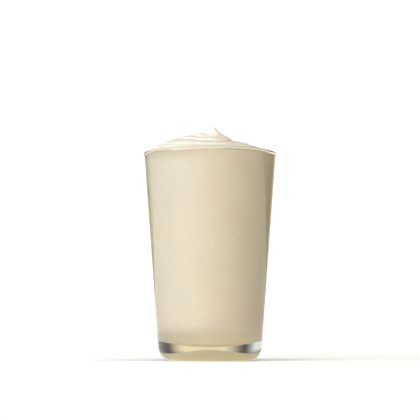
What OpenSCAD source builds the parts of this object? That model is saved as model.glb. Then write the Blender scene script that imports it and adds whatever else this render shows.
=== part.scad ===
// Vanilla milkshake in a plain tapered tumbler, filled past the brim with a soft swirl.
// Millimetres, +Z up, origin on the table under the middle of the glass.
// The side that shows the end of the swirl's last coil faces -Y and +X.

/* [Glass] */
// Height of the glass, to the top of its rim
glass_h = 134.6; // [90:0.2:200]
// Outer width of the wall, carried up to the top of the rim
mouth_d = 85.5; // [60:0.5:110]
// Outer width of the wall, carried down to the table
foot_d = 65.4; // [48:0.2:80]
// Thickness of the wall
wall_t = 2; // [1.4:0.1:4]
// How far the fire-polished bead of the rim stands out from the wall
bead_out = 0.5; // [0.2:0.1:1.5]
// Radius of the rounded heel, between the wall and the table
heel_r = 9.8; // [4:0.1:13]
// Thickness of the glass under the middle of the drink
floor_t = 10; // [4:0.2:14]
// Radius of the bowl-shaped floor inside
floor_r = 60; // [40:1:90]
// Radius of the inside corner, between floor and wall
corner_r = 8; // [4:0.5:16]
// Width of the flat ring that the glass stands on
ring_w = 3.6; // [1.5:0.1:6]
// Depth of the hollow under the foot
punt_h = 1.2; // [0.5:0.1:2.5]

/* [Milkshake] */
// How far below the bead of the rim the drink meets the wall
brim_gap = 0.2; // [0.1:0.1:10]
// Height of the dome above that level
dome_h = 10.4; // [4:0.1:20]
// How full the dome's shoulder is, from a cone to a flat top
dome_fullness = 2.3; // [1.2:0.1:4]
// Extra height of the dome on its left
sway_left = 3; // [-3:0.1:4]
// Extra height of the dome at the front, below zero where it sags
sway_front = -1.1; // [-3:0.1:4]
// Extra height of the dome at the back
sway_back = 1.5; // [-3:0.1:4]

/* [Swirl] */
// Width of the piped strand, which is the spacing of the spiral's turns
strand_w = 20.4; // [10:0.2:26]
// Distance from the middle to the edge of the last turn, where it folds over
fold_r = 13.1; // [8:0.1:20]
// How far the last turn stands above the one below
fold_h = 1.9; // [0.5:0.1:4]
// How far the first turns stand above the brim
first_turn_h = 0.35; // [0.1:0.05:3]
// Depth of the crease along the strand
crease_h = 0.45; // [0:0.05:1]
// Width of the crease along the strand
crease_w = 2.6; // [1.5:0.1:5]
// Rise of the small heap in the middle of the last turn
heap_h = 3.7; // [0:0.1:6]

/* [Peak] */
// Height of the peak above the heap
peak_h = 4.7; // [1:0.1:12]
// Width of the peak
peak_w = 8.6; // [4:0.1:16]
// Distance of the peak from the middle, to the right
peak_shift = 1.1; // [-6:0.1:6]

/* [Hidden] */

// Wall: a straight taper, thick by wall_t measured square to it
taper = atan((mouth_d - foot_d) / 2 / glass_h);
slope = tan(taper);
wall_across = wall_t / cos(taper);
function wall_out(z) = foot_d / 2 + z * slope;
function wall_in(z) = wall_out(z) - wall_across;

// Rim: one round bead that runs smoothly into the inside of the wall
bead_r = (wall_across + bead_out) / 2;
bead_z = glass_h - bead_r;
bead_at = wall_out(bead_z) + bead_out - bead_r;
bead_from = -taper - acos((wall_out(bead_z) - bead_at) * cos(taper) / bead_r);

// Heel: touches the table and the wall
heel_at = foot_d / 2 - heel_r * (1 - sin(taper)) / cos(taper);

// Inside corner: touches the bowl-shaped floor and the wall
bowl_z = floor_t + floor_r;
corner_foot = wall_in(0) - corner_r / cos(taper);
quad_a = 1 + slope * slope;
quad_b = corner_foot * slope - bowl_z;
quad_c = corner_foot ^ 2 + bowl_z ^ 2 - (floor_r - corner_r) ^ 2;
corner_z = (-quad_b - sqrt(quad_b ^ 2 - quad_a * quad_c)) / quad_a;
corner_at = corner_foot + corner_z * slope;
corner_from = atan2(corner_z - bowl_z, corner_at);

// Punt: a shallow cap of a ball, cut into the foot inside its ring
punt_at = heel_at - ring_w;
punt_r = (punt_at ^ 2 + punt_h ^ 2) / (2 * punt_h);
punt_half = asin(punt_at / punt_r);

// Level where the drink meets the wall, and its width there
fill_z = bead_z - brim_gap;
brim_r = wall_in(fill_z);

// Fineness of the round profiles
arc_step = 4;
round_sides = 180;

// Mesh of the swirl: points round it, rings across it, and how it sinks into the drink at its edge
swirl_sides = 96;
swirl_rings = 36;
swirl_inset = 0.4;
swirl_dip = 0.6;
swirl_root = 3;
swirl_r = brim_r - swirl_inset;

// The extra heights of the dome start within this distance of the middle, and end near the wall
sway_core = 10;
sway_fade = 16;

// The strand sinks into the heap at the middle and into the brim at the wall over these distances
tail_fade = 7;
brim_fade = 5;

// Where along the spiral, in turns from its start, the strand begins and ends its rise
rise_from = 0.4;
rise_to = 0.9;
// Where the crest and the crease lie across the strand, from its inner to its outer edge
crest_at = 0.72;
crease_at = 0.65;

// Points along an arc, a few degrees apart
function arc(x, z, r, from, to) =
    let (steps = ceil(abs(to - from) / arc_step))
    [for (i = [0:steps]) let (a = from + (to - from) * i / steps) [x + r * cos(a), z + r * sin(a)]];

function smooth(x) = let (t = max(0, min(1, x))) t * t * (3 - 2 * t);

// A value that passes smoothly through four others, one for each side
function around(right, back, left, front, a) =
    (right + back + left + front) / 4
    + (right - left) / 2 * cos(a)
    + (back - front) / 2 * sin(a)
    + (right - back + left - front) / 4 * cos(2 * a);

// Inside of the glass, from the middle of its floor up to a level
function inside(top) = concat(
    arc(0, bowl_z, floor_r, -90, corner_from),
    arc(corner_at, corner_z, corner_r, corner_from, -taper),
    [[wall_in(top), top]]
);

// Outside of the glass, from the middle of the punt to the bead
function outside() = concat(
    arc(0, punt_h - punt_r, punt_r, 90, 90 - punt_half),
    arc(heel_at, heel_r, heel_r, -90, -taper),
    arc(bead_at, bead_z, bead_r, bead_from, 180 - taper)
);

function backwards(list) = [for (i = [len(list) - 1:-1:0]) list[i]];

// Place in the spiral: whole part for the turn, rest for the way across the strand
function spiral(r, a) = (r - fold_r) / strand_w + a / 360;

function dome(r, a) =
    dome_h * (1 - (r / swirl_r) ^ dome_fullness)
    + around(0, sway_back, sway_left, sway_front, a)
        * smooth(r / sway_core)
        * (1 - (r / swirl_r) ^ sway_fade);

// Height of the strand at its crest, which grows towards the end of the spiral
function strand_h(turns) =
    first_turn_h + (fold_h - first_turn_h) * smooth((turns - rise_from) / (rise_to - rise_from));

// Rounded cross-section with a blunt outer edge, and the crease along it
function strand(across) =
    across < crest_at
        ? sin(90 * across / crest_at)
        : sqrt(max(0, 1 - ((across - crest_at) / (1 - crest_at)) ^ 2));

function crease(across) = exp(-((across - crease_at) * strand_w / (crease_w / 2)) ^ 2);

function coil(r, a) =
    let (place = spiral(r, a), turn = floor(place), across = place - turn)
    strand_h(a / 360 - turn) * strand(across) - crease_h * crease(across);

function heap(r) = heap_h * max(0, 1 - r / fold_r);

function peak(r, a) =
    let (dx = r * cos(a) - peak_shift, dy = r * sin(a))
    peak_h * exp(-(dx * dx + dy * dy) / (peak_w / 2) ^ 2);

// Height of the drink's surface above the level where it meets the wall
function swirl(r, a) =
    dome(r, a)
    + coil(r, a) * smooth(r / tail_fade) * smooth((swirl_r - r) / brim_fade)
    + heap(r)
    + peak(r, a);

module glass() {
    color([0.82, 0.88, 0.86, 0.35])
        rotate_extrude($fn = round_sides)
            polygon(concat(outside(), backwards(inside(bead_z))));
}

module fill() {
    rotate_extrude($fn = round_sides)
        polygon(concat(inside(fill_z), [[0, fill_z]]));
}

// The heap above the brim: rings of points on the swirl, closed by a flat underside in the drink
module mound() {
    sides = swirl_sides;
    rings = swirl_rings;
    top = [[0, 0, fill_z + swirl(0, 0)]];
    rows = [for (j = [1:rings], i = [0:sides - 1])
        let (r = swirl_r * j / rings, a = 360 * i / sides)
        [r * cos(a), r * sin(a), fill_z + (j < rings ? swirl(r, a) : -swirl_dip)]];
    skirt = [for (i = [0:sides - 1])
        let (a = 360 * i / sides)
        [swirl_r * cos(a), swirl_r * sin(a), fill_z - swirl_root]];
    middle = [[0, 0, fill_z - swirl_root]];
    last = (rings + 1) * sides + 1;
    function at(j, i) = 1 + (j - 1) * sides + i % sides;
    cap = [for (i = [0:sides - 1]) [0, at(1, i + 1), at(1, i)]];
    bands = [for (j = [1:rings], i = [0:sides - 1])
        each [[at(j, i), at(j, i + 1), at(j + 1, i + 1)], [at(j, i), at(j + 1, i + 1), at(j + 1, i)]]];
    underside = [for (i = [0:sides - 1]) [last, at(rings + 1, i), at(rings + 1, i + 1)]];
    polyhedron(concat(top, rows, skirt, middle), concat(cap, bands, underside), convexity = 8);
}

module milkshake() {
    color([0.93, 0.89, 0.79]) {
        fill();
        mound();
    }
}

glass();
milkshake();
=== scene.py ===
"""Vanilla milkshake in a clear tapered glass: the looks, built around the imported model.

Every length is in metres, +Z up, with the origin on the table under the middle of the glass.
"""

import math

import bpy
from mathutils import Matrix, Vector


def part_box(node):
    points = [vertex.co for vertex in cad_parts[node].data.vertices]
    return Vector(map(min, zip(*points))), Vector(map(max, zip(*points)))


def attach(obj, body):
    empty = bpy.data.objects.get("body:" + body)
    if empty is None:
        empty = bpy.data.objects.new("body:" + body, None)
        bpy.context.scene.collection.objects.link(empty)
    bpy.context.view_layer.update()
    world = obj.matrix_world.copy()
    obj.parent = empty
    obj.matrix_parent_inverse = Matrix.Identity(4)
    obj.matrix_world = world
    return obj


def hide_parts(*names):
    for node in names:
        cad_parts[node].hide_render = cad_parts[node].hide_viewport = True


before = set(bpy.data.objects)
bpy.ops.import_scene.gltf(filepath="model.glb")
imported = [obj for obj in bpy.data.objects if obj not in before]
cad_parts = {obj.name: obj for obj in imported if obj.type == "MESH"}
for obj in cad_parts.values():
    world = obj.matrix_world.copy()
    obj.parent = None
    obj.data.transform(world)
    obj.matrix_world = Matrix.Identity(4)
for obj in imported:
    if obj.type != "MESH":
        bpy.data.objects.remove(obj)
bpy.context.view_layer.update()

bl_info = {
    "name": "Vanilla Milkshake",
    "version": (1, 0, 0),
    "blender": (4, 5, 0),
    "location": "3D View > Sidebar > Milkshake",
    "description": "Builds a vanilla milkshake with a soft swirl in a clear tapered glass",
    "category": "Add Mesh",
}

MM = 0.001
BODY = "root"
GLASS_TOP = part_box("glass")[1].z
FLOOR_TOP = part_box("milkshake")[0].z

# Fineness of the meshes: sides round each piece, steps up a profile and rows across the swirl
GLASS_SIDES = 256
DRINK_SIDES = 360
PUNT_STEPS = 12
WALL_STEPS = 12
SWIRL_ROWS = 190
ARC_STEP = math.radians(3)
BEAD_STEP = math.radians(9)
FILLET_STEP = math.radians(12)

# Where the crest and the crease lie across the strand, from 0 at its inner edge to 1 at its outer
CREST_AT = 0.72
CREASE_AT = 0.65
# Where across the strand the lip begins, and where it hangs over in full
LIP_FROM = 0.55
LIP_TO = 0.97
# Fine ridges side by side on the strand
RIDGES = 9
# Part of the last turn over which the strand rises to its full height
RISE_FROM = 0.4
RISE_TO = 0.9
# The sway sets in over this distance from the middle, and ends near the wall by this power
SWAY_CORE = 10 * MM
SWAY_POWER = 16
# The strand sets in over this distance from the middle, and ends over this one at the brim
TAIL_FADE = 7 * MM
BRIM_FADE = 5 * MM
# Shoulder of the peak: 1 is a plain bell, and more makes it blunter and steeper
PEAK_POWER = 1.15
# Soft waves to the metre, their levels of detail, and where they end at the brim
WAVE_SCALE = 95
WAVE_DETAIL = 2
WAVE_FADE = 4 * MM
# The top of the drink is everything above its level, less this
LEVEL_SLACK = 0.01 * MM

# How far below and above the rim the cream turns into the paler top, which is painted light: the
# same milkshake coloured paler where stronger light falls on the swirl
PAINTED_LIT_TOP_SPREAD = 3 * MM
# Roughness of the drink where it is smoothest, and how much rougher it gets
DRINK_ROUGHNESS = 0.32
ROUGHNESS_SPREAD = 0.12
# Strength of the white that the camera sees behind the glass
BACKGROUND = 1.2
# Width of the camera's sensor, in millimetres
SENSOR_WIDTH = 36


# ---------------------------------------------------------------- settings


def length(name, description, millimetres):
    """A length that the user can change."""
    return bpy.props.FloatProperty(
        name=name, description=description, default=millimetres * MM, unit="LENGTH", precision=4
    )


def number(name, description, default):
    """A plain number that the user can change."""
    return bpy.props.FloatProperty(name=name, description=description, default=default)


def angle(name, description, degrees):
    """An angle that the user can change."""
    return bpy.props.FloatProperty(
        name=name, description=description, default=math.radians(degrees), subtype="ANGLE"
    )


def colour(name, description, default):
    """A colour that the user can change."""
    return bpy.props.FloatVectorProperty(
        name=name, description=description, default=default, subtype="COLOR", size=3, min=0, max=1
    )


class GlassSettings(bpy.types.PropertyGroup):
    """Sizes and colours of the tumbler."""

    mouth: length("Mouth", "Outer width of the wall at the top", 85.5)
    foot: length("Foot", "Outer width of the wall, carried down to the table", 65.4)
    wall: length("Wall", "Thickness of the wall", 2)
    bead: length("Bead", "How far the bead of the rim stands out from the wall", 0.5)
    bead_fillet: length("Bead fillet", "Radius of the hollow under the bead", 0.6)
    heel: length("Heel", "Radius of the rounded heel", 9.8)
    bowl: length("Bowl", "Radius of the bowl-shaped floor inside", 60)
    corner: length("Corner", "Radius of the inside corner", 8)
    ring: length("Ring", "Width of the flat ring that the glass stands on", 3.6)
    punt: length("Punt", "Depth of the hollow under the foot", 1.2)
    ripple: number("Ripple", "Strength of the faint waves in the pressed glass", 0.05)
    tint: colour("Tint", "Colour of thick glass", (0.74, 0.9, 0.8))
    tint_density: number("Tint density", "How strongly a metre of glass takes its colour", 5)


class SwirlSettings(bpy.types.PropertyGroup):
    """Sizes of the swirled top of the milkshake."""

    brim_gap: length("Brim gap", "How far below the bead the drink meets the wall", 0.2)
    inset: length("Inset", "Flat edge of the drink along the wall", 0.2)
    dome: length("Dome", "Height of the dome above the brim", 10.4)
    fullness: number("Fullness", "How full the dome's shoulder is", 2.3)
    sway_left: length("Left sway", "Extra height of the dome on its left", 3)
    sway_front: length("Front sway", "Extra height of the dome at the front", -1.1)
    sway_back: length("Back sway", "Extra height of the dome at the back", 1.5)
    strand: length("Strand", "Width of the piped strand", 20.4)
    fold: length("Fold", "Distance from the middle to the edge of the last turn", 13.1)
    fold_height: length("Fold height", "How far the last turn stands above the one below", 1.9)
    fold_lip: length("Fold lip", "How far the edge of the last turn hangs over", 0.8)
    first_height: length("First height", "How far the first turns stand above the brim", 0.35)
    crease: length("Crease", "Depth of the crease along the strand", 0.45)
    crease_width: length("Crease width", "Width of the crease along the strand", 2.6)
    ridge: length("Ridge", "Height of the fine ridges along the strand", 0.08)
    heap: length("Heap", "Rise of the small heap in the middle", 3.7)
    bluntness: length("Bluntness", "Radius over which the tip of the heap is rounded", 3)
    peak: length("Peak", "Height of the peak above the heap", 5.3)
    peak_width: length("Peak width", "Width of the peak", 9)
    peak_shift: length("Peak shift", "Distance of the peak from the middle", 1.1)
    unevenness: length("Unevenness", "Height of the soft irregular waves of the surface", 0.25)


class DrinkSettings(bpy.types.PropertyGroup):
    """Colour and finish of the milkshake."""

    cream: colour("Cream", "Colour of the milkshake", (0.85, 0.75, 0.57))
    deep: colour("Deep cream", "Colour of its slightly richer patches", (0.835, 0.73, 0.54))
    # The paler top is painted light, not froth: the same cream coloured paler where the swirl above
    # the rim catches stronger light
    painted_lit_top: colour("Froth", "Colour of the paler, airier top", (0.79, 0.725, 0.63))
    bite: length("Bite", "How far the drink reaches into the wall of the glass", 0.12)
    scatter: length("Scatter", "How far light spreads inside the drink", 3)


class StageSettings(bpy.types.PropertyGroup):
    """Camera, light and floor."""

    distance: length("Distance", "Distance of the camera from the glass", 997)
    height: length("Height", "Height of the camera above the table", 21.4)
    pitch: angle("Pitch", "How far the camera looks up", 4.36)
    lens: number("Lens", "Focal length in millimetres", 132.2)
    floor: length("Floor", "Half width of the floor", 4000)
    floor_tone: number("Floor tone", "How much light the floor gives back", 0.9)
    floor_seen: number("Floor brightness", "How bright the floor is to the camera", 1.15)
    floor_glow: number("Floor glow", "Light that the floor itself sends into the glass", 0.06)
    under_glow: number("Under glow", "Extra light from the floor under the glass", 0.8)
    glow_reach: length("Glow reach", "How far from the middle the extra light reaches", 35)
    glow_colour: colour("Glow colour", "Colour of the light from the floor", (1, 0.85, 0.62))
    floor_drop: length("Floor drop", "Gap between the glass and the floor", 0.05)
    key: number("Key", "Strength of the main softbox, on the left in front", 8.5)
    key_colour: colour("Key colour", "Colour of the main softbox", (0.68, 0.8, 1))
    front: number("Front", "Strength of the softbox beside the camera", 5.1)
    front_colour: colour("Front colour", "Colour of the softbox beside the camera", (1, 0.92, 0.71))
    left: number("Left", "Strength of the softbox on the left", 2.2)
    left_colour: colour("Left colour", "Colour of the softbox on the left", (0.72, 0.86, 1))
    side: number("Side", "Strength of the reflector behind on the left", 0.8)
    side_colour: colour("Side colour", "Colour of the reflector behind on the left", (1, 1, 0.97))
    wall: number("Wall", "Strength of the warm wall behind", 0.85)
    wall_colour: colour("Wall colour", "Colour of the warm wall behind", (1, 0.82, 0.5))
    overhead: number("Overhead", "Strength of the large softbox above", 4.9)
    overhead_colour: colour("Overhead colour", "Colour of the large softbox above", (1, 0.96, 0.86))
    room: number("Room", "Strength of the light from all around", 0.04)


# ---------------------------------------------------------------- outlines


def arc(centre, radius, start, end, step=ARC_STEP):
    """Points along an arc in the plane of radius and height."""
    count = max(1, math.ceil(abs(end - start) / step))
    angles = [start + (end - start) * i / count for i in range(count + 1)]
    return [(centre[0] + radius * math.cos(a), centre[1] + radius * math.sin(a)) for a in angles]


class Tumbler:
    """The places that the outlines of the glass and of the drink share."""

    def __init__(self, sizes):
        self.sizes = sizes
        self.taper = math.atan((sizes.mouth - sizes.foot) / 2 / GLASS_TOP)
        self.slope = math.tan(self.taper)
        across = sizes.wall / math.cos(self.taper)
        self.bead_radius = (across + sizes.bead) / 2
        bead_height = GLASS_TOP - self.bead_radius
        self.bead = (self.wall_out(bead_height) + sizes.bead - self.bead_radius, bead_height)
        self.heel = (
            sizes.foot / 2 - sizes.heel * (1 - math.sin(self.taper)) / math.cos(self.taper),
            sizes.heel,
        )
        self.bowl = (0, FLOOR_TOP + sizes.bowl)
        self.corner = self.corner_centre()
        self.corner_start = math.atan2(self.corner[1] - self.bowl[1], self.corner[0])

    def wall_out(self, height):
        """Outer radius of the wall at a height."""
        return self.sizes.foot / 2 + height * self.slope

    def wall_in(self, height):
        """Inner radius of the wall at a height."""
        return self.wall_out(height) - self.sizes.wall / math.cos(self.taper)

    def corner_centre(self):
        """Centre of the arc that touches the bowl of the floor and the wall."""
        sizes = self.sizes
        foot = self.wall_in(0) - sizes.corner / math.cos(self.taper)
        a = 1 + self.slope**2
        b = foot * self.slope - self.bowl[1]
        c = foot**2 + self.bowl[1] ** 2 - (sizes.bowl - sizes.corner) ** 2
        height = (-b - math.sqrt(b * b - a * c)) / a
        return (foot + height * self.slope, height)

    def inside(self, grown=0.0):
        """From the middle of the floor to the wall, grown into the glass."""
        sizes = self.sizes
        floor = arc(self.bowl, sizes.bowl + grown, -math.pi / 2, self.corner_start)
        corner = arc(self.corner, sizes.corner + grown, self.corner_start, -self.taper)
        return floor + corner[1:]

    def under(self):
        """From the middle of the punt, over the ring and round the heel."""
        sizes = self.sizes
        edge = self.heel[0] - sizes.ring
        radius = (edge**2 + sizes.punt**2) / (2 * sizes.punt)
        half = math.asin(edge / radius)
        up = math.pi / 2
        punt = arc((0, sizes.punt - radius), radius, up, up - half, half / PUNT_STEPS)
        return punt + arc(self.heel, sizes.heel, -up, -self.taper)

    def rim(self):
        """From the wall through the fillet under the bead and over the bead to the inside."""
        fillet = self.sizes.bead_fillet
        outward = (math.cos(self.taper), -math.sin(self.taper))
        upward = (math.sin(self.taper), math.cos(self.taper))
        aside = (self.wall_out(self.bead[1]) - self.bead[0]) * math.cos(self.taper) + fillet
        below = -math.sqrt((self.bead_radius + fillet) ** 2 - aside**2)
        centre = tuple(b + aside * o + below * u for b, o, u in zip(self.bead, outward, upward))
        towards = math.atan2(self.bead[1] - centre[1], self.bead[0] - centre[0])
        inward = math.pi - self.taper
        hollow = arc(centre, fillet, inward, towards, FILLET_STEP)
        bead = arc(self.bead, self.bead_radius, towards - math.pi, inward, BEAD_STEP)
        return hollow + bead[1:]


def revolve(name, outline, sides):
    """A closed smooth mesh turned from an outline that starts and ends on the axis."""
    rings = outline[1:-1]
    angles = [math.tau * i / sides for i in range(sides)]
    points = [(0, 0, outline[0][1])]
    points += [(r * math.cos(a), r * math.sin(a), z) for r, z in rings for a in angles]
    points.append((0, 0, outline[-1][1]))
    last = len(points) - 1

    def at(ring, side):
        return 1 + ring * sides + side % sides

    top = len(rings) - 1
    faces = [(0, at(0, i + 1), at(0, i)) for i in range(sides)]
    faces += [
        (at(ring, i), at(ring, i + 1), at(ring + 1, i + 1), at(ring + 1, i))
        for ring in range(top)
        for i in range(sides)
    ]
    faces += [(at(top, i), at(top, i + 1), last) for i in range(sides)]
    mesh = bpy.data.meshes.new(name)
    mesh.from_pydata(points, [], faces)
    mesh.shade_smooth()
    piece = bpy.data.objects.new(name, mesh)
    bpy.context.scene.collection.objects.link(piece)
    return piece


# ---------------------------------------------------------------- node trees


class Field:
    """A number at every point of a node tree. Arithmetic on it adds the math nodes."""

    def __init__(self, tree, socket):
        self.tree = tree
        self.socket = socket

    def node(self, kind, *values, **settings):
        """Adds a node, sets it and feeds its first inputs."""
        made = self.tree.nodes.new(kind)
        for key, value in settings.items():
            setattr(made, key, value)
        for socket, value in zip(made.inputs, values):
            feed(self.tree, socket, value)
        return made

    def math(self, operation, *values):
        """Adds one math node."""
        made = self.node("ShaderNodeMath", *values, operation=operation)
        return Field(self.tree, made.outputs[0])

    def __add__(self, other):
        return self.math("ADD", self, other)

    def __radd__(self, other):
        return self.math("ADD", other, self)

    def __sub__(self, other):
        return self.math("SUBTRACT", self, other)

    def __rsub__(self, other):
        return self.math("SUBTRACT", other, self)

    def __mul__(self, other):
        return self.math("MULTIPLY", self, other)

    def __truediv__(self, other):
        return self.math("DIVIDE", self, other)

    def __neg__(self):
        return self.math("MULTIPLY", self, -1)

    def __pow__(self, other):
        return self.math("POWER", self, other)

    def function(self, operation, *others):
        """Cosine, floor, wrap, the lesser of two and the like, with this number first."""
        return self.math(operation, self, *others)

    def smooth(self, start, end):
        """Eases from 0 at start to 1 at end."""
        made = self.node(
            "ShaderNodeMapRange", self, start, end, 0, 1, interpolation_type="SMOOTHSTEP"
        )
        return Field(self.tree, made.outputs[0])


def feed(tree, socket, value):
    """Gives a socket a Field, another socket or a plain value."""
    if isinstance(value, Field):
        tree.links.new(value.socket, socket)
    elif isinstance(value, bpy.types.NodeSocket):
        tree.links.new(value, socket)
    else:
        socket.default_value = value


def coordinates(tree, socket):
    """The three numbers of a place or a direction."""
    split = tree.nodes.new("ShaderNodeSeparateXYZ")
    tree.links.new(socket, split.inputs[0])
    return [Field(tree, output) for output in split.outputs]


def arrange(tree, rows=6, width=200, height=190):
    """Lays the nodes out in columns, in the order in which they were made."""
    for i, node in enumerate(tree.nodes):
        node.location = (i // rows * width, -(i % rows) * height)


def setting_names(settings):
    """Names of the values that a group of settings holds."""
    return [key for key in settings.bl_rna.properties.keys() if key not in ("rna_type", "name")]


def between(right, back, left, front, turn):
    """A number that passes smoothly through four others, one for each side."""
    return (
        (right + back + left + front) * 0.25
        + (right - left) * 0.5 * turn.function("COSINE")
        + (back - front) * 0.5 * turn.function("SINE")
        + (right - back + left - front) * 0.25 * (turn * 2).function("COSINE")
    )


def swirl_tree(sizes, brim_radius, level, material):
    """Geometry nodes that pile the flat top of the drink into a swirl.

    Returns the tree and the value of each input, by the identifier of its socket.
    """
    tree = bpy.data.node_groups.new("Soft swirl", "GeometryNodeTree")
    interface = tree.interface
    interface.new_socket("Geometry", in_out="INPUT", socket_type="NodeSocketGeometry")
    interface.new_socket("Geometry", in_out="OUTPUT", socket_type="NodeSocketGeometry")
    values = {key: getattr(sizes, key) for key in setting_names(sizes)}
    values["brim_radius"] = brim_radius
    values["level"] = level
    sockets = {}
    for key, value in values.items():
        sockets[key] = interface.new_socket(key, in_out="INPUT", socket_type="NodeSocketFloat")
        sockets[key].default_value = value
    start = tree.nodes.new("NodeGroupInput")
    end = tree.nodes.new("NodeGroupOutput")
    given = {key: Field(tree, start.outputs[key]) for key in values}

    place = tree.nodes.new("GeometryNodeInputPosition").outputs[0]
    x, y, z = coordinates(tree, place)
    radius = (x * x + y * y) ** 0.5
    turn = y.function("ARCTAN2", x).function("WRAP", math.tau, 0)
    edge = given["brim_radius"] - given["inset"]
    share = (radius / edge).function("MINIMUM", 1)

    sway = between(0, given["sway_back"], given["sway_left"], given["sway_front"], turn)
    dome = given["dome"] * (1 - share ** given["fullness"])
    dome = dome + sway * radius.smooth(0, SWAY_CORE) * (1 - share**SWAY_POWER)

    spiral = (radius - given["fold"]) / given["strand"] + turn / math.tau
    lap = spiral.function("FLOOR")
    across = spiral - lap
    along = turn / math.tau - lap
    rise = along.smooth(RISE_FROM, RISE_TO)
    growth = (given["fold_height"] - given["first_height"]) * rise
    strand_height = given["first_height"] + growth
    inner = (across * (math.pi / 2 / CREST_AT)).function("SINE")
    outer = (1 - ((across - CREST_AT) / (1 - CREST_AT)) ** 2).function("MAXIMUM", 0) ** 0.5
    past = across.function("GREATER_THAN", CREST_AT)
    section = inner * (1 - past) + outer * past
    beside = (across - CREASE_AT) * given["strand"] / (given["crease_width"] * 0.5)
    crease = (-(beside**2)).function("EXPONENT")
    ridges = (across * (math.tau * RIDGES)).function("COSINE") * given["ridge"]
    ridges = ridges * (across * math.pi).function("SINE")
    fade = radius.smooth(0, TAIL_FADE) * (edge - radius).smooth(0, BRIM_FADE)
    coil = (strand_height * section - given["crease"] * crease + ridges) * fade

    blunt = (radius * radius + given["bluntness"] ** 2) ** 0.5
    heap = given["heap"] * (1 - blunt / given["fold"]).function("MAXIMUM", 0)
    aside = x - given["peak_shift"]
    steepness = ((aside * aside + y * y) / (given["peak_width"] * 0.5) ** 2) ** PEAK_POWER
    peak = given["peak"] * (-steepness).function("EXPONENT")

    noise = tree.nodes.new("ShaderNodeTexNoise")
    noise.inputs["Scale"].default_value = WAVE_SCALE
    noise.inputs["Detail"].default_value = WAVE_DETAIL
    tree.links.new(place, noise.inputs["Vector"])
    waves = (Field(tree, noise.outputs[0]) - 0.5) * 2 * given["unevenness"]
    waves = waves * (edge - radius).smooth(0, WAVE_FADE)

    height = dome + coil + heap + peak + waves
    lip = given["fold_lip"] * rise * across.smooth(LIP_FROM, LIP_TO) * fade
    outward = lip / radius.function("MAXIMUM", MM)
    offset = tree.nodes.new("ShaderNodeCombineXYZ")
    for socket, value in zip(offset.inputs, (x * outward, y * outward, height)):
        feed(tree, socket, value)

    top = z.function("GREATER_THAN", given["level"] - LEVEL_SLACK)
    shift = tree.nodes.new("GeometryNodeSetPosition")
    tree.links.new(start.outputs["Geometry"], shift.inputs["Geometry"])
    feed(tree, shift.inputs["Selection"], top)
    tree.links.new(offset.outputs[0], shift.inputs["Offset"])
    realize = tree.nodes.new("GeometryNodeRealizeInstances")
    tree.links.new(shift.outputs[0], realize.inputs[0])
    paint = tree.nodes.new("GeometryNodeSetMaterial")
    paint.inputs["Material"].default_value = material
    tree.links.new(realize.outputs[0], paint.inputs["Geometry"])
    tree.links.new(paint.outputs[0], end.inputs[0])
    arrange(tree)
    return tree, {sockets[key].identifier: value for key, value in values.items()}


def bake_nodes(piece, tree, inputs):
    """Runs a geometry node tree on a piece and keeps only the mesh that comes out."""
    modifier = piece.modifiers.new(tree.name, "NODES")
    modifier.node_group = tree
    for identifier, value in inputs.items():
        modifier[identifier] = value
    graph = bpy.context.evaluated_depsgraph_get()
    made = bpy.data.meshes.new_from_object(piece.evaluated_get(graph), depsgraph=graph)
    piece.modifiers.remove(modifier)
    made.name = piece.name
    piece.data = made
    made.shade_smooth()


# ---------------------------------------------------------------- materials


def new_material(name):
    """An empty material with its shader. Returns the material, its tree and the shader."""
    material = bpy.data.materials.new(name)
    material.use_nodes = True
    tree = material.node_tree
    return material, tree, tree.nodes["Principled BSDF"]


def noise_group():
    """Soft noise on a piece's own coordinates, shared by the materials and built once."""
    name = "Soft noise"
    if name in bpy.data.node_groups:
        return bpy.data.node_groups[name]
    group = bpy.data.node_groups.new(name, "ShaderNodeTree")
    for socket in ("Scale", "Detail"):
        group.interface.new_socket(socket, in_out="INPUT", socket_type="NodeSocketFloat")
    group.interface.new_socket("Value", in_out="OUTPUT", socket_type="NodeSocketFloat")
    start = group.nodes.new("NodeGroupInput")
    where = group.nodes.new("ShaderNodeTexCoord")
    noise = group.nodes.new("ShaderNodeTexNoise")
    end = group.nodes.new("NodeGroupOutput")
    for socket in ("Scale", "Detail"):
        group.links.new(start.outputs[socket], noise.inputs[socket])
    group.links.new(where.outputs["Object"], noise.inputs["Vector"])
    group.links.new(noise.outputs[0], end.inputs["Value"])
    arrange(group)
    return group


def noise_field(tree, scale, detail):
    """The shared soft noise. Scale is how many times it changes in a metre."""
    node = tree.nodes.new("ShaderNodeGroup")
    node.node_tree = noise_group()
    node.inputs["Scale"].default_value = scale
    node.inputs["Detail"].default_value = detail
    return Field(tree, node.outputs["Value"])


def mix_colours(tree, amount, first, second):
    """A colour between two others, each a socket or a plain colour."""
    node = tree.nodes.new("ShaderNodeMix")
    node.data_type = "RGBA"
    feed(tree, node.inputs[0], amount)
    feed(tree, node.inputs[6], first)
    feed(tree, node.inputs[7], second)
    return node.outputs[2]


def bump(tree, height, distance, strength, shader):
    """Small relief of a surface."""
    node = tree.nodes.new("ShaderNodeBump")
    node.inputs["Distance"].default_value = distance
    node.inputs["Strength"].default_value = strength
    feed(tree, node.inputs["Height"], height)
    tree.links.new(node.outputs[0], shader.inputs["Normal"])


def clear_glass(sizes):
    """Pressed soda-lime glass: clear, faintly green where it is thick, with soft waves."""
    material, tree, shader = new_material("clear glass")
    shader.inputs["Base Color"].default_value = (1, 1, 1, 1)
    shader.inputs["Roughness"].default_value = 0
    shader.inputs["IOR"].default_value = 1.5
    shader.inputs["Transmission Weight"].default_value = 1
    waves = noise_field(tree, scale=60, detail=1)
    bump(tree, waves, distance=0.4 * MM, strength=sizes.ripple, shader=shader)
    depth = tree.nodes.new("ShaderNodeVolumeAbsorption")
    depth.inputs["Color"].default_value = (*sizes.tint, 1)
    depth.inputs["Density"].default_value = sizes.tint_density
    tree.links.new(depth.outputs[0], tree.nodes["Material Output"].inputs["Volume"])
    arrange(tree)
    return material


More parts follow.
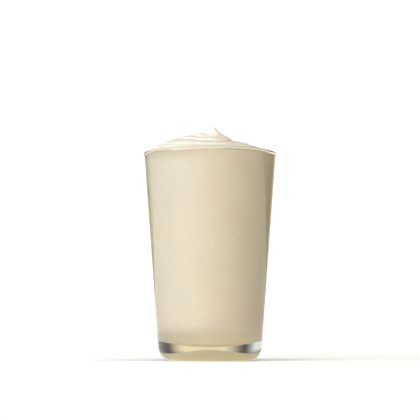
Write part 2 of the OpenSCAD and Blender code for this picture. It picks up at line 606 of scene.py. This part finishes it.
def vanilla_milkshake(drink):
    """Thick milkshake: creamy, softly mottled, with light that spreads inside it, and a paler top
    that is painted light.
    """
    material, tree, shader = new_material("vanilla milkshake")
    where = tree.nodes.new("ShaderNodeTexCoord")
    height = coordinates(tree, where.outputs["Object"])[2]
    # Painted light: above the rim the cream turns to the paler colour that stands for the stronger
    # light on the swirl
    painted_lit_top = height.smooth(GLASS_TOP - PAINTED_LIT_TOP_SPREAD, GLASS_TOP + PAINTED_LIT_TOP_SPREAD)
    patches = noise_field(tree, scale=70, detail=4).smooth(0.35, 0.7)
    body = mix_colours(tree, patches, (*drink.cream, 1), (*drink.deep, 1))
    whole = mix_colours(tree, painted_lit_top, body, (*drink.painted_lit_top, 1))
    tree.links.new(whole, shader.inputs["Base Color"])
    grain = noise_field(tree, scale=900, detail=2)
    feed(tree, shader.inputs["Roughness"], DRINK_ROUGHNESS + grain * ROUGHNESS_SPREAD)
    shader.inputs["IOR"].default_value = 1.6
    shader.inputs["Subsurface Weight"].default_value = 1
    shader.inputs["Subsurface Radius"].default_value = (1, 0.62, 0.34)
    shader.inputs["Subsurface Scale"].default_value = drink.scatter
    bubbles = noise_field(tree, scale=1400, detail=3)
    bump(tree, bubbles, distance=0.1 * MM, strength=0.25, shader=shader)
    arrange(tree)
    return material


def pale_floor(stage):
    """Plain pale matt floor, with a glow under the glass that the camera doesn't see directly."""
    material, tree, shader = new_material("pale floor")
    tree.nodes.remove(shader)
    seen = Field(tree, tree.nodes.new("ShaderNodeLightPath").outputs["Is Camera Ray"])
    tone = seen * (stage.floor_seen - stage.floor_tone) + stage.floor_tone
    grey = tree.nodes.new("ShaderNodeCombineColor")
    for socket in grey.inputs:
        feed(tree, socket, tone)
    matt = tree.nodes.new("ShaderNodeBsdfDiffuse")
    tree.links.new(grey.outputs[0], matt.inputs["Color"])
    where = tree.nodes.new("ShaderNodeTexCoord")
    x, y, _ = coordinates(tree, where.outputs["Object"])
    under = ((x * x + y * y) ** 0.5).smooth(stage.glow_reach, stage.glow_reach / 2)
    glow = tree.nodes.new("ShaderNodeEmission")
    glow.inputs["Color"].default_value = (*stage.glow_colour, 1)
    strength = (under * stage.under_glow + stage.floor_glow) * (1 - seen)
    feed(tree, glow.inputs["Strength"], strength)
    both = tree.nodes.new("ShaderNodeAddShader")
    tree.links.new(matt.outputs[0], both.inputs[0])
    tree.links.new(glow.outputs[0], both.inputs[1])
    tree.links.new(both.outputs[0], tree.nodes["Material Output"].inputs["Surface"])
    arrange(tree)
    return material


# ---------------------------------------------------------------- light


# Where each panel of light stands, in degrees: middle, width, lower edge, upper edge, softness.
# The middle is 0 behind the camera and grows towards the left.
PANELS = {
    "key": (45, 60, -6, 24, 12),
    "front": (-4, 36, -6, 24, 16),
    "left": (90, 30, -6, 24, 12),
    "side": (120, 38, -6, 20, 12),
    "wall": (186, 50, -6, 20, 12),
    "overhead": (-15, 150, 58, 86, 12),
}


def softbox(azimuth, elevation, centre, width, low, high, edge):
    """How much of a soft-edged panel of light is seen in each direction."""
    aside = (azimuth - centre).function("WRAP", math.pi, -math.pi).function("ABSOLUTE")
    across = aside.smooth(width / 2 + edge, width / 2 - edge)
    up = elevation.smooth(low - edge, low + edge) * elevation.smooth(high + edge, high - edge)
    return across * up


def studio_world(stage):
    """Light from panels around the glass. The camera itself sees a white background."""
    world = bpy.data.worlds.new("studio")
    bpy.context.scene.world = world
    world.use_nodes = True
    tree = world.node_tree
    tree.nodes.clear()
    where = tree.nodes.new("ShaderNodeTexCoord")
    x, y, z = coordinates(tree, where.outputs["Generated"])
    azimuth = (-x).function("ARCTAN2", -y)
    elevation = z.function("ARCSINE")
    masks = {
        name: softbox(azimuth, elevation, *(math.radians(value) for value in edges))
        for name, edges in PANELS.items()
    }
    total = tree.nodes.new("ShaderNodeCombineColor")
    for i, socket in enumerate(total.inputs):
        panels = (
            mask * (getattr(stage, name) * getattr(stage, name + "_colour")[i])
            for name, mask in masks.items()
        )
        feed(tree, socket, stage.room + sum(panels))
    seen = tree.nodes.new("ShaderNodeLightPath").outputs["Is Camera Ray"]
    glow = tree.nodes.new("ShaderNodeBackground")
    tree.links.new(total.outputs[0], glow.inputs["Color"])
    white = tree.nodes.new("ShaderNodeBackground")
    white.inputs["Color"].default_value = (1, 1, 1, 1)
    white.inputs["Strength"].default_value = BACKGROUND
    mix = tree.nodes.new("ShaderNodeMixShader")
    tree.links.new(seen, mix.inputs[0])
    tree.links.new(glow.outputs[0], mix.inputs[1])
    tree.links.new(white.outputs[0], mix.inputs[2])
    end = tree.nodes.new("ShaderNodeOutputWorld")
    tree.links.new(mix.outputs[0], end.inputs["Surface"])
    arrange(tree)


# ---------------------------------------------------------------- operators


class MILKSHAKE_OT_glass(bpy.types.Operator):
    """Build the clear glass"""

    bl_idname = "milkshake.glass"
    bl_label = "Glass"

    def execute(self, context):
        sizes = context.scene.milkshake_glass
        tumbler = Tumbler(sizes)
        outline = tumbler.under() + tumbler.rim() + tumbler.inside()[::-1]
        piece = revolve("tumbler", outline, GLASS_SIDES)
        piece.data.materials.append(clear_glass(sizes))
        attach(piece, BODY)
        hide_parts("glass")
        return {"FINISHED"}


class MILKSHAKE_OT_drink(bpy.types.Operator):
    """Build the milkshake with its swirl"""

    bl_idname = "milkshake.drink"
    bl_label = "Milkshake"

    def execute(self, context):
        drink = context.scene.milkshake_drink
        swirl = context.scene.milkshake_swirl
        tumbler = Tumbler(context.scene.milkshake_glass)
        level = tumbler.bead[1] - swirl.brim_gap
        brim = tumbler.wall_in(level)
        outline = tumbler.inside(drink.bite)
        ends = list(zip(outline[-1], (brim + drink.bite, level)))
        outline += [
            tuple(low + (high - low) * i / WALL_STEPS for low, high in ends)
            for i in range(1, WALL_STEPS + 1)
        ]
        outline += [(brim * i / SWIRL_ROWS, level) for i in range(SWIRL_ROWS, -1, -1)]
        piece = revolve("milkshake_swirl", outline, DRINK_SIDES)
        tree, inputs = swirl_tree(swirl, brim, level, vanilla_milkshake(drink))
        bake_nodes(piece, tree, inputs)
        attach(piece, BODY)
        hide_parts("milkshake")
        return {"FINISHED"}


class MILKSHAKE_OT_stage(bpy.types.Operator):
    """Set up the floor, the light and the camera"""

    bl_idname = "milkshake.stage"
    bl_label = "Stage"

    def execute(self, context):
        stage = context.scene.milkshake_stage
        corners = [(-1, -1), (1, -1), (1, 1), (-1, 1)]
        points = [(x * stage.floor, y * stage.floor, -stage.floor_drop) for x, y in corners]
        mesh = bpy.data.meshes.new("floor")
        mesh.from_pydata(points, [], [(0, 1, 2, 3)])
        floor = bpy.data.objects.new("floor", mesh)
        context.scene.collection.objects.link(floor)
        mesh.materials.append(pale_floor(stage))
        studio_world(stage)
        lens = bpy.data.cameras.new("camera")
        lens.lens = stage.lens
        lens.sensor_width = SENSOR_WIDTH
        camera = bpy.data.objects.new("camera", lens)
        camera.location = (0, -stage.distance, stage.height)
        camera.rotation_euler = (math.pi / 2 + stage.pitch, 0, 0)
        context.scene.collection.objects.link(camera)
        context.scene.camera = camera
        context.scene.view_settings.view_transform = "Standard"
        return {"FINISHED"}


class MILKSHAKE_PT_panel(bpy.types.Panel):
    """The pieces and their settings in the sidebar"""

    bl_label = "Milkshake"
    bl_idname = "MILKSHAKE_PT_panel"
    bl_space_type = "VIEW_3D"
    bl_region_type = "UI"
    bl_category = "Milkshake"

    def draw(self, context):
        """Lists the operators, and below them the settings in boxes."""
        for operator in OPERATORS:
            self.layout.operator(operator.bl_idname)
        for key in SETTINGS:
            box = self.layout.box()
            settings = getattr(context.scene, key)
            for name in setting_names(settings):
                box.prop(settings, name)


SETTINGS = {
    "milkshake_glass": GlassSettings,
    "milkshake_swirl": SwirlSettings,
    "milkshake_drink": DrinkSettings,
    "milkshake_stage": StageSettings,
}
OPERATORS = (MILKSHAKE_OT_glass, MILKSHAKE_OT_drink, MILKSHAKE_OT_stage)


def register():
    """Adds the settings, the operators and the panel to Blender."""
    for group in SETTINGS.values():
        bpy.utils.register_class(group)
    for operator in OPERATORS:
        bpy.utils.register_class(operator)
    bpy.utils.register_class(MILKSHAKE_PT_panel)
    for key, group in SETTINGS.items():
        setattr(bpy.types.Scene, key, bpy.props.PointerProperty(type=group))


def unregister():
    """Takes them out again."""
    for key in SETTINGS:
        delattr(bpy.types.Scene, key)
    bpy.utils.unregister_class(MILKSHAKE_PT_panel)
    for operator in reversed(OPERATORS):
        bpy.utils.unregister_class(operator)
    for group in reversed(SETTINGS.values()):
        bpy.utils.unregister_class(group)


def main():
    register()
    bpy.ops.milkshake.glass()
    bpy.ops.milkshake.drink()
    bpy.ops.milkshake.stage()


if __name__ == "__main__":
    main()
